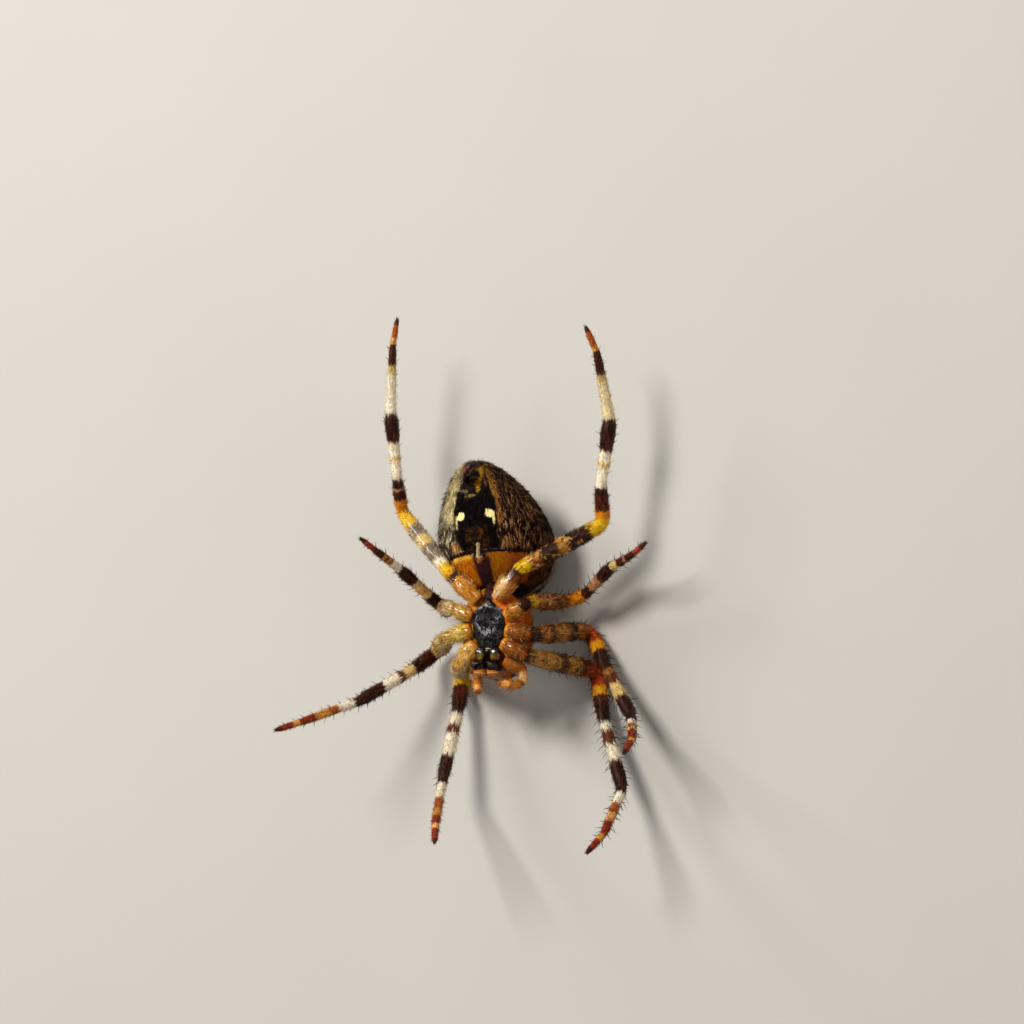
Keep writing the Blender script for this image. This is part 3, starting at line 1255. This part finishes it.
# %% Chelicerae, fangs, maxillae and labium
chelicera_shell = chelicera_material()
maxilla_plate = maxilla_material()
for side, sign in SIDES:
    bm, ball = shaped_ball(48, 40, chelicera_shape(sign))
    nodes = [f"chelicera_{side}"]
    jaw = new_piece(f"chelicera_{side}_shell", bm, chelicera_shell, nodes)
    remember(jaw, "ball", ball)

    start, end = (Vector((x * sign, y, z)) for x, y, z in (FANG_START, FANG_END))
    crest = (start + end) / 2 + Vector((0, 0, 0.14))
    fang_axis = Axis([start, crest, end], (0.5,), 0.03)
    fang_radii = 0.13 * (1 - 0.85 * np.linspace(0, 1, len(fang_axis.run)) ** 1.3)
    bm = sleeve(fang_axis, fang_radii, 16)
    new_piece(f"fang_{side}_hook", bm, black_shell, [f"fang_{side}"])

    bm, ball = shaped_ball(40, 32, maxilla_shape(sign))
    wrinkle(bm, 4.0, lambda vert: 0.04)
    nodes = [f"maxilla_{side}"]
    lobe = new_piece(f"maxilla_{side}_plate", bm, maxilla_plate, nodes)
    remember(lobe, "ball", ball)

bm, ball = shaped_ball(32, 24, egg_shape(LABIUM_CENTRE, LABIUM_HALF))
lip = new_piece("labium_plate", bm, labium_material(), ["labium"])
remember(lip, "ball", ball)
print("mouth parts made")

# %% [markdown]
# ## Palps
#
# The palps are a pair of short feelers beside the jaws. They bend like legs and are amber with
# a paler middle and an orange, bristly end. They are drawn with the same sleeve.

# %% Palps
PALP_JOINTS = {
    "left": ((-0.8, -1.98, -0.42), (-1.3, -2.5, -1.0), (-0.98, -3.12, -0.95), (-0.67, -3.8, -0.35)),
    "right": ((0.86, -1.95, -0.4), (1.8, -2.5, -0.95), (1.86, -3.35, -0.6), (0.68, -3.26, 0.25)),
}
PALP_BEND = 0.48
PALP_SIDES = 18
PALP_THICKNESS = (
    (0.0, 0.33), (0.2, 0.39), (0.6, 0.4), (0.85, 0.36), (1.0, 0.29), (1.15, 0.28), (1.7, 0.25),
    (1.95, 0.22), (2.02, 0.2), (2.12, 0.25), (2.5, 0.255), (2.8, 0.2), (2.95, 0.12), (3.0, 0.04),
)
PALP_BANDS = (
    (0.0, "8a4c0a"), (0.9, "965a12"), (1.15, "bc8e54"), (1.88, "6e3c16"), (2.04, "a8641c"),
    (2.5, "c88a48"), (2.85, "7a3c10"),
)
palp_marks, (along,), result = new_group("palp_marks", {"Along": "Float"}, {"Color": "Color"})
palp_bands = [(start, paint(code)) for start, code in PALP_BANDS]
plug(result["Color"], band_ramp(along, palp_bands, 0.0, 3.0, 0.05))


def palp_material():
    material, tree, shader = new_material(
        "palp_skin", Subsurface_Weight=0.15, Subsurface_Scale=0.2 * MM, Coat_Weight=0.08,
        Coat_Roughness=0.25, Specular_IOR_Level=0.12,
    )
    place = object_place(tree)
    along = wandering(parts(read(tree, "measure"))[0], place, 5.0, 0.25)
    colour = add_node(tree, "Group", {"Along": along}, "Color", node_tree=palp_marks)
    wrinkles = rise(grain(place, 6.0, 5.0, 0.7), 0.54, 0.62)
    colour = lay(wrinkles * 0.55, colour, "54240e")
    plug(shader["Base Color"], shaded(colour, place, 9, 0.85, 1.65))
    finish_shell(shader, place, 0.32, 0.25, 0.02)
    return material


palp_skin = palp_material()
palp_axes, palp_radii = {}, {}
for side, joints in PALP_JOINTS.items():
    axis = palp_axes[side] = Axis([Vector(j) for j in joints], (PALP_BEND, PALP_BEND), 0.06)
    palp_radii[side] = np.interp(axis.along, *zip(*PALP_THICKNESS))
    bm = sleeve(axis, palp_radii[side], PALP_SIDES)
    wrinkle(bm, 4.5, lambda vert: 0.045)
    piece = new_piece(f"palp_{side}_skin", bm, palp_skin, [f"palp_{side}"])
    remember(piece, "measure", axis.measures(PALP_SIDES))
print("palps made")

# %% [markdown]
# ## Eyes
#
# An orb weaver has eight small eyes at the front of the head: four in a square in the middle
# and a pair close together at each side. Each is a clear dark bead, sunk to its middle in the
# carapace, with a very smooth surface, so that a single highlight sits on it.

# %% Eyes
EYE_PAIRS = {
    "eye_front_middle": ((0.2, -3.02, -1.78), 0.12),
    "eye_rear_middle": ((0.19, -3.06, -2.3), 0.12),
    "eye_front_side": ((0.82, -2.86, -1.85), 0.09),
    "eye_rear_side": ((0.84, -2.82, -2.1), 0.09),
}
eye_lens, tree, shader = new_material(
    "eye_lens", Roughness=0.04, Coat_Weight=1.0, Coat_Roughness=0.02,
)
plug(shader["Base Color"], lay(grain(object_place(tree), 4.0), "050404", "120a06"))
for name, (centre, radius) in EYE_PAIRS.items():
    for side, sign in SIDES:
        bm, ball = shaped_ball(24, 16, egg_shape(np.array(centre) * (sign, 1, 1), (radius,) * 3))
        new_piece(f"{name}_{side}_lens", bm, eye_lens, [f"{name}_{side}"])
print("eyes:", 2 * len(EYE_PAIRS))

# %% [markdown]
# ## Spinnerets and epigyne
#
# Silk comes out of three pairs of blunt cones, the spinnerets, gathered in a dark cluster on a
# common ring. Near the front of the belly is the epigyne, the female's knob, which carries a
# short pale finger that points to the rear, between two glossy black lobes.

# %% The spinnerets' material
SPINNERETS = (-1.06, 8.3, -0.55)


def spinneret_material():
    """Nearly black cones on a ring that is golden on its right side and grey on its left."""
    material, tree, shader = new_material("spinneret_shell", Specular_IOR_Level=0.08)
    place = object_place(tree)
    middle = tuple(spot(*SPINNERETS))
    offset = add_node(tree, "VectorMath", {0: place, 1: middle}, operation="SUBTRACT")
    aside, behind, above = parts(offset)
    flat = add_node(tree, "CombineXYZ", {0: aside, 1: behind})
    out = add_node(tree, "VectorMath", {0: flat}, "Value", operation="LENGTH")
    turn = maths("ARCTAN2", behind, aside) * DEGREES
    colour = lay(rise(grain(place, 2.2, 4.0), 0.4, 0.62), "0c0605", "33201a")
    rim = rise(wandering(out, place, 5.0, 0.2 * MM), 0.46 * MM, 0.56 * MM)
    colour = lay(rim * stripe(turn, -70.0, 45.0, 8.0) * 0.85, colour, "a8741c")
    colour = lay(rim * rise(abs(turn), 135.0, 155.0) * 0.7, colour, "77705a")
    lit = stripe(turn, 95.0, 160.0, 12.0) * rise(above, 0.2 * MM, 0.5 * MM)
    colour = lay(lit * 0.7, colour, "74493a")
    plug(shader["Base Color"], shaded(colour, place, 8, 0.6, 1.3))
    finish_shell(shader, place, 0.45, 0.2, 0.03)
    return material


print("spinnerets stand at", tuple(round(v, 5) for v in spot(*SPINNERETS)))

# %% Spinnerets and epigyne
EPIGYNE = (-0.52, 3.6, -0.3)
epigyne_amber = plain_shell("epigyne_amber", ("9a5a26", "4c240e"), 4.0, 0.35, 0.1, coat=0.2)
finger_pale = plain_shell("finger_pale", ("a5966c", "6e5c3a"), 6.0, 0.35, 0.1)


def knobs(centre, lobes, gather=0.0):
    """Several eggs in one mesh, drawn together upwards. A lobe has an offset and half sizes."""

    def lobe_shape(offset, half):
        def rule(ball):
            place = egg_shape(offset, half)(ball)
            place[:, :2] *= 1 - gather * np.maximum(0, place[:, 2:])
            return place + np.array(centre)

        return rule

    return gathered(shaped_ball(24, 16, lobe_shape(*lobe))[0] for lobe in lobes)


new_piece("spinneret_cluster", knobs(SPINNERETS, [
    ((0, 0, -0.1), (0.7, 0.76, 0.62)),
    ((-0.3, -0.24, 0.34), (0.27, 0.25, 0.5)), ((0.3, -0.24, 0.34), (0.27, 0.25, 0.5)),
    ((-0.3, 0.3, 0.4), (0.23, 0.29, 0.46)), ((0.25, 0.3, 0.38), (0.23, 0.29, 0.44)),
    ((-0.1, 0.0, 0.42), (0.12, 0.13, 0.34)), ((0.1, 0.0, 0.42), (0.12, 0.13, 0.34)),
    ((0.0, 0.56, 0.25), (0.26, 0.2, 0.3)),
], 0.4), spinneret_material(), ["spinnerets"])
new_piece("epigyne_knob", knobs(EPIGYNE, [
    ((0, 0.08, -0.05), (0.25, 0.33, 0.3)), ((-0.14, 0.14, 0.05), (0.13, 0.2, 0.2)),
    ((0.14, 0.14, 0.05), (0.13, 0.2, 0.2)),
]), epigyne_amber, ["epigyne"])
new_piece("epigyne_finger", knobs(EPIGYNE, [
    ((-0.06, 0.45, 0.17), (0.12, 0.52, 0.1)), ((-0.06, 0.86, 0.16), (0.13, 0.15, 0.11)),
]), finger_pale)
new_piece("epigyne_lobes", knobs(EPIGYNE, [
    ((-0.29, 0.3, 0.04), (0.13, 0.15, 0.2)), ((0.17, 0.3, 0.04), (0.14, 0.15, 0.2)),
]), black_shell)
print("spinnerets and epigyne made")

# %% [markdown]
# ## Hair
#
# Hair could be grown as particles, but those don't survive an export, so each hair is a thin
# solid: a three-sided taper of two stretches that bends down towards the tip. Thousands are
# joined in one mesh with NumPy. Each hair carries the numbers of the skin at its root, so it
# wears the same marks, and its own tiny patch in the map called OFBake.

# %% Grow a coat
PATCH = 0.003
HAIR_CORNERS = PATCH * np.array([
    (0, 0), (0.5, 0), (1, 0), (0, 0.5), (0.5, 0.5), (1, 0.5), (0.5, 1),
])
HAIR_FACES = ((2, 1, 0), (0, 1, 4, 3), (1, 2, 5, 4), (2, 0, 3, 5), (3, 4, 6), (4, 5, 6), (5, 3, 6))
HAIR_POINTS = len(HAIR_CORNERS)


def hair_points(hairs):
    """Seven points for each hair: a ring at its root, a ring at its middle and its tip."""
    root, normal, lie = hairs["roots"], hairs["normals"], unit(hairs["lies"])
    lie = unit(lie - normal * (lie * normal).sum(1, keepdims=True))
    length, width = hairs["lengths"][:, None], hairs["widths"][:, None]
    start, end = (np.radians(hairs[key])[:, None] for key in ("lifts", "ends"))
    first = lie * np.cos(start) + normal * np.sin(start)
    second = lie * np.cos(end) + normal * np.sin(end)
    side = unit(np.cross(normal, lie))
    base = root - normal * 0.03
    middle = root + first * length * 0.5
    tip = middle + second * length * 0.5
    tip[:, 2] = np.maximum(tip[:, 2], FLOOR + 0.01)
    middle[:, 2] = np.maximum(middle[:, 2], FLOOR + 0.02)
    points = np.zeros((len(root), HAIR_POINTS, 3))
    for k, turn in enumerate((90, 210, 330)):
        for row, (place, ahead, share) in enumerate(((base, first, 1.0), (middle, second, 0.75))):
            across = np.cross(ahead, side)
            out = side * math.cos(math.radians(turn)) + across * math.sin(math.radians(turn))
            points[:, row * 3 + k] = place + out * width * share
    points[:, 6] = tip
    points[:, :, 2] = np.maximum(points[:, :, 2], FLOOR)
    return points


def grow_coat(name, hairs, material, memory):
    """Joins hairs in one piece. hairs holds roots, normals, lies (which way they lie), lengths,
    widths, lifts (degrees at the root), ends (degrees at the tip), maps (places of the roots in
    the bake's map), marks (what the skin remembers there) and tints."""
    points = hair_points(hairs)
    hair_numbers = np.arange(len(points))[:, None]
    corners = np.array([c for face in HAIR_FACES for c in face])
    sizes = np.array([len(face) for face in HAIR_FACES])
    starts = np.concatenate([[0], np.cumsum(sizes)[:-1]])
    loop_vertices = (corners[None] + HAIR_POINTS * hair_numbers).ravel()
    loop_starts = (starts[None] + len(corners) * hair_numbers).ravel()
    mesh = bpy.data.meshes.new(name)
    mesh.vertices.add(len(points) * HAIR_POINTS)
    mesh.vertices.foreach_set("co", (np.array(ZERO) + points * MM).astype(np.float32).ravel())
    mesh.loops.add(len(loop_vertices))
    mesh.loops.foreach_set("vertex_index", loop_vertices.astype(np.int32))
    mesh.polygons.add(len(loop_starts))
    mesh.polygons.foreach_set("loop_start", loop_starts.astype(np.int32))
    mesh.update(calc_edges=True)
    bake_map = mesh.uv_layers.new(name="OFBake")
    places = hairs["maps"][:, None, :] + HAIR_CORNERS[corners][None]
    bake_map.data.foreach_set("uv", places.astype(np.float32).ravel())
    coat = as_piece(name, mesh, material)
    remember(coat, memory, np.repeat(hairs["marks"], HAIR_POINTS, axis=0))
    tint = mesh.attributes.new("tint", "FLOAT", "POINT")
    tint.data.foreach_set("value", np.repeat(hairs["tints"], HAIR_POINTS).astype(np.float32))
    print(name, len(points), "hairs")


def hair_material(name, group, memory, roughness=0.4):
    """Hair that takes its root's colour, darker or paler by each hair's own tint."""
    material, tree, shader = new_material(name, Roughness=roughness, Specular_IOR_Level=0.06)
    mark = read(tree, memory)
    inputs = {"Along": parts(mark)[0]} if memory == "measure" else {"Ball": mark}
    colour = add_node(tree, "Group", inputs, "Color", node_tree=group)
    tint = read(tree, "tint", "Fac")
    bright = rise(add_node(tree, "RGBToBW", {0: colour}), 0.01, 0.12)
    straw = rise(tint, 0.6, 1.0) * (0.12 + bright * 0.88)
    colour = lay(rise(tint, 0.45, 0.0), colour, "160b07")
    plug(shader["Base Color"], lay(straw, colour, STRAW))
    return material


print("points of a hair:", HAIR_POINTS)

# %% Scatter hairs over a leg
chance = np.random.default_rng(7)
LAP = 6.283


def hair_tints(count, pale):
    """0 for a dark hair, about 0.5 for one of the skin's colour and 1 for a straw-coloured one."""
    dark = chance.uniform(0.1, 0.55, count)
    return np.where(chance.random(count) < pale, chance.uniform(0.66, 0.95, count), dark)


def hair_sizes(count, lengths, width, lifts, ends, spread=(0.6, 1.3), width_spread=(0.7, 1.3)):
    return {
        "lengths": lengths * chance.uniform(*spread, count),
        "widths": width * chance.uniform(*width_spread, count),
        "lifts": chance.uniform(*lifts, count), "ends": chance.uniform(*ends, count),
    }


def map_places(across, upward):
    """Places in the bake's map, a little inside its edges, from two shares between 0 and 1."""
    return np.stack([0.03 + 0.93 * across, upward], 1)


def joined(*batches):
    return {key: np.concatenate([batch[key] for batch in batches]) for key in batches[0]}


def leg_hairs(axis, radii, per_mm2, length, pale, first_along=0.0):
    """Fine hairs all over a leg, longer on the femur and shortest at the foot."""
    step = axis.run[1] - axis.run[0]
    weight = radii * (np.where(axis.along < 0.75, 0.65, 1.0) * (axis.along > first_along))
    count = int(per_mm2 * (2 * math.pi * weight * step).sum())
    ring = chance.choice(len(radii), count, p=weight / weight.sum())
    turn = chance.uniform(0, 2 * math.pi, count)
    out = axis.outward(ring, turn)
    ahead, along = axis.ahead[ring], axis.along[ring]
    jitter = chance.uniform(-0.5, 0.5, count)[:, None] * ahead * step
    lies = ahead + np.cross(ahead, out) * chance.normal(0, 0.3, count)[:, None]
    share = np.interp(along, (0, 0.8, 1, 2, 4, 5, 6), (1.3, 1.2, 1.0, 0.95, 0.85, 0.7, 0.55))
    return {
        "roots": axis.place[ring] + out * radii[ring][:, None] + jitter,
        "normals": out, "lies": lies,
        **hair_sizes(count, length * share, 0.01, (12, 42), (0, 26)),
        "maps": map_places(along / 6, 0.03 + 0.93 * turn / (2 * math.pi)),
        "marks": np.stack([along, np.cos(turn), np.sin(turn)], 1),
        "tints": hair_tints(count, np.where(along < 0.7, 0.2 + 0.5 * pale, pale)),
    }


def leg_spines(axis, radii, length, pale, rows, spacing=0.62, first=1.3, last=5.7):
    """Stout spines in rows along a leg, standing well out."""
    rings, turns, shares = [], [], []
    for row in rows:
        run = axis.run[np.searchsorted(axis.along, first)] + chance.uniform(0, spacing)
        while run < axis.run[-1]:
            ring = min(np.searchsorted(axis.run, run), len(radii) - 1)
            along = axis.along[ring]
            if along > last:
                break
            rings.append(ring)
            turns.append(math.radians(row) + chance.normal(0, 0.22))
            shares.append(np.interp(along, (1, 2, 3, 5, 6), (0.6, 0.8, 1.0, 0.75, 0.4)))
            run += spacing * chance.uniform(0.7, 1.35)
    ring, turn = np.array(rings), np.array(turns)
    out, along = axis.outward(ring, turn), axis.along[ring]
    lengths = length * np.array(shares)
    return {
        "roots": axis.place[ring] + out * radii[ring][:, None],
        "normals": out, "lies": axis.ahead[ring],
        **hair_sizes(len(ring), lengths, 0.024, (46, 68), (36, 56), (0.75, 1.2), (0.85, 1.15)),
        "maps": map_places(along / 6, 0.03 + 0.93 * (turn % LAP) / LAP),
        "marks": np.stack([along, np.cos(turn), np.sin(turn)], 1),
        "tints": np.full(len(ring), pale),
    }


print("hairs are drawn from one seeded table")

# %% Hairs and spines of the legs
LEG_HAIRS_PER_MM2 = 95
SPINE_ROWS = (-150, -90, -30, 30, 90, 150)

# How a leg's coat looks: hair length, share of pale hairs, spine length and paleness of spines.
LEG_COATS = {
    "leg_1_left": (0.27, 0.42, 0.36, 0.75), "leg_1_right": (0.24, 0.15, 0.66, 0.0),
    "leg_2_left": (0.27, 0.34, 0.42, 0.2), "leg_2_right": (0.24, 0.12, 0.66, 0.0),
    "leg_3_left": (0.25, 0.35, 0.42, 0.1), "leg_3_right": (0.24, 0.12, 0.5, 0.0),
    "leg_4_left": (0.22, 0.4, 0.34, 0.8), "leg_4_right": (0.22, 0.2, 0.36, 0.75),
}
for leg, axis in leg_axes.items():
    hair_length, pale, spine_length, spine_tint = LEG_COATS[leg]
    fine = leg_hairs(axis, leg_radii[leg], LEG_HAIRS_PER_MM2, hair_length, pale)
    spines = leg_spines(axis, leg_radii[leg], spine_length, spine_tint, SPINE_ROWS)
    hair = hair_material(leg + "_hair", marks_of_leg[leg], "measure")
    grow_coat(leg + "_hairs", joined(fine, spines), hair, "measure")

# %% Hairs of the palps
palp_hair = hair_material("palp_hair", palp_marks, "measure")
for side, axis in palp_axes.items():
    fine = leg_hairs(axis, palp_radii[side], 90, 0.26, 0.3, 0.2)
    bristles = leg_spines(axis, palp_radii[side], 0.9, 0.2, range(0, 360, 45), 0.3, 1.9, 2.95)
    bristles["widths"] *= 0.5
    grow_coat(f"palp_{side}_hairs", joined(fine, bristles), palp_hair, "measure")

# %% Hairs of the abdomen, the carapace and the jaws


def ball_hairs(shape, count, length, paleness, lie_along, keep, width):
    """Hairs spread evenly over a ball-shaped part, lying along the body."""
    ball = unit(chance.normal(size=(count * 2, 3)))
    ball = ball[keep(ball)][:count]
    count = len(ball)
    turn = unit(np.cross([0, 1, 0], ball))
    ahead = unit(np.cross(ball, turn))
    small = 1e-3
    here = shape(ball)
    along = (shape(unit(ball + ahead * small)) - here) / small
    across = (shape(unit(ball + turn * small)) - here) / small
    normal = unit(np.cross(along, across))
    normal *= np.sign((normal * (here - here.mean(0))).sum(1, keepdims=True))
    lies = unit(along) * lie_along + unit(across) * chance.normal(0, 0.3, count)[:, None]
    around = np.arctan2(ball[:, 0], ball[:, 2]) / (2 * math.pi) + 0.5
    return {
        "roots": here, "normals": normal, "lies": lies,
        **hair_sizes(count, length, width, (14, 34), (0, 18)),
        "maps": map_places(around, 0.5 + 0.465 * ball[:, 1]),
        "marks": ball, "tints": hair_tints(count, paleness(ball)),
    }


def furry(ball):
    """Leaves out the spinnerets, the commas, most of the lung covers and the flat on the floor."""
    near = (np.hypot(ball[:, 0], ball[:, 1] - 0.56) < 0.16) & (ball[:, 2] > 0)
    away = np.abs(round_angle(ball))
    commas = (np.abs(away - 17) < 5) & (np.abs(ball[:, 1] - 0.06) < 0.09)
    covers = (away < 60) & (ball[:, 1] < -0.46) & (chance.random(len(ball)) < 0.75)
    return ~near & ~commas & ~covers & (abdomen_shape(ball)[:, 2] > FLOOR + 0.02)


def abdomen_paleness(ball):
    """Pale hairs are common on the left flank and rare elsewhere."""
    return np.where((ball[:, 0] < -0.3) & (ball[:, 2] > -0.3), 0.35, 0.02)


lying = ball_hairs(abdomen_shape, 15000, 0.3, abdomen_paleness, -1.0, furry, 0.01)
standing = ball_hairs(abdomen_shape, 2200, 0.32, abdomen_paleness, -1.0, furry, 0.011)
standing["lifts"] += 30
standing["ends"] += 26
abdomen_hair = hair_material("abdomen_hair", abdomen_marks, "ball", 0.5)
grow_coat("abdomen_hairs", joined(lying, standing), abdomen_hair, "ball")

fur = ball_hairs(
    carapace_shape, 3500, 0.24, lambda ball: 0.4, 1.0, lambda ball: ball[:, 2] < 0.1, 0.01,
)
carapace_hair = hair_material("carapace_hair", carapace_marks, "ball", 0.5)
grow_coat("carapace_hairs", fur, carapace_hair, "ball")
for side, sign in SIDES:
    jaw_rule = chelicera_shape(sign)
    fur = ball_hairs(
        lambda ball: jaw_rule(ball[:, (0, 2, 1)] * (1, -1, 1)), 420, 0.16, lambda ball: 0.5, 1.0,
        lambda ball: (ball[:, 2] > 0.45) & (ball[:, 1] < 0.6), 0.008,
    )
    grow_coat(f"chelicera_{side}_hairs", fur, carapace_hair, "ball")

# %% [markdown]
# ## Claws
#
# Each foot ends in a pair of small curved claws that hook the silk. They are thin horn, so
# they stay separate pieces in glossy black.

# %% Claws
claw_horn = plain_shell("claw_horn", ("120c0a", "2c1c12"), 6.0, 0.25)


def claw(axis, sign):
    """One curved claw at the end of a leg's axis."""
    place, ahead, side, up = (Vector(v[-1]) for v in (axis.place, axis.ahead, axis.side, axis.up))
    tip = place - ahead * 0.1
    outer = tip + ahead * 0.16 + side * sign * 0.06 + up * 0.04
    hook = outer + ahead * 0.08 - up * 0.08
    claw_axis = Axis([tip + side * sign * 0.03, outer, hook], (0.12,), 0.02)
    return sleeve(claw_axis, 0.032 * (1 - 0.85 * np.linspace(0, 1, len(claw_axis.run))), 8)


for leg, axis in leg_axes.items():
    pair = gathered(claw(axis, sign) for sign in (-1, 1))
    new_piece(leg + "_claws", pair, claw_horn)
print("claws made")

# %% [markdown]
# ## Floor, light and camera
#
# The floor is a plain pale sheet. The light is soft and comes mostly from the upper left, with
# an even glow from all round, so that the amber shell shines through. The camera looks down on
# the belly from the spider's right, tilted 22 degrees from straight above.

# %% Floor
bm = bmesh.new()
bmesh.ops.create_grid(bm, x_segments=1, y_segments=1, size=1.5)
floor_mesh = bpy.data.meshes.new("floor")
bm.to_mesh(floor_mesh)
bm.free()
floor = stand("floor", floor_mesh)
floor_paint, tree, shader = new_material("floor_paint", Roughness=0.9)
plug(shader["Base Color"], lay(grain(object_place(tree), 0.05), "bfbdb9", "bab7b3"))
floor_mesh.materials.append(floor_paint)
print("floor laid")

# %% Camera
TILT = math.radians(22)
VIEW_WIDTH = 56.9
LENS = 300
SENSOR = 36
toward = Vector((math.sin(TILT), 0, math.cos(TILT)))
rightward = Vector((math.cos(TILT), 0, -math.sin(TILT)))
target = spot(1.289, 6.28, -0.521)
distance = VIEW_WIDTH * MM * LENS / SENSOR
camera_data = bpy.data.cameras.new("camera")
camera_data.lens = LENS
camera_data.sensor_width = SENSOR
camera_data.clip_start = 0.01
camera = stand("camera", camera_data)
axes = Matrix((rightward, (0, 1, 0), toward)).transposed().to_4x4()
camera.matrix_world = Matrix.Translation(target + toward * distance) @ axes
bpy.context.scene.camera = camera
print("camera stands", round(distance, 3), "m away")

# %% Lights
LOOKED_AT = spot(0, 2, -2)


def soft_light(name, aside, above, ahead, size, power, colour):
    """A square lamp that looks at the spider, placed in the camera's own directions."""
    data = bpy.data.lights.new(name, "AREA")
    data.size = size
    data.energy = power
    data.color = colour
    lamp = stand(name, data)
    lamp.location = LOOKED_AT + rightward * aside + Vector((0, above, 0)) + toward * ahead
    lamp.rotation_euler = (LOOKED_AT - lamp.location).to_track_quat("-Z", "Y").to_euler()


soft_light("key", -0.2, 0.16, 0.24, 0.09, 1.2, (1.0, 0.95, 0.87))
soft_light("rim", -0.26, 0.16, 0.05, 0.08, 0.45, (1.0, 0.98, 0.95))
soft_light("fill", 0.25, -0.05, 0.22, 0.25, 0.2, (1.0, 0.96, 0.9))
world = bpy.data.worlds.new("studio")
bpy.context.scene.world = world
world.use_nodes = True
glow = world.node_tree.nodes["Background"].inputs
glow["Color"].default_value = (1.0, 0.95, 0.88, 1.0)
glow["Strength"].default_value = 0.27
bpy.context.scene.view_settings.view_transform = "Standard"
print("lamps:", len(bpy.data.lights))
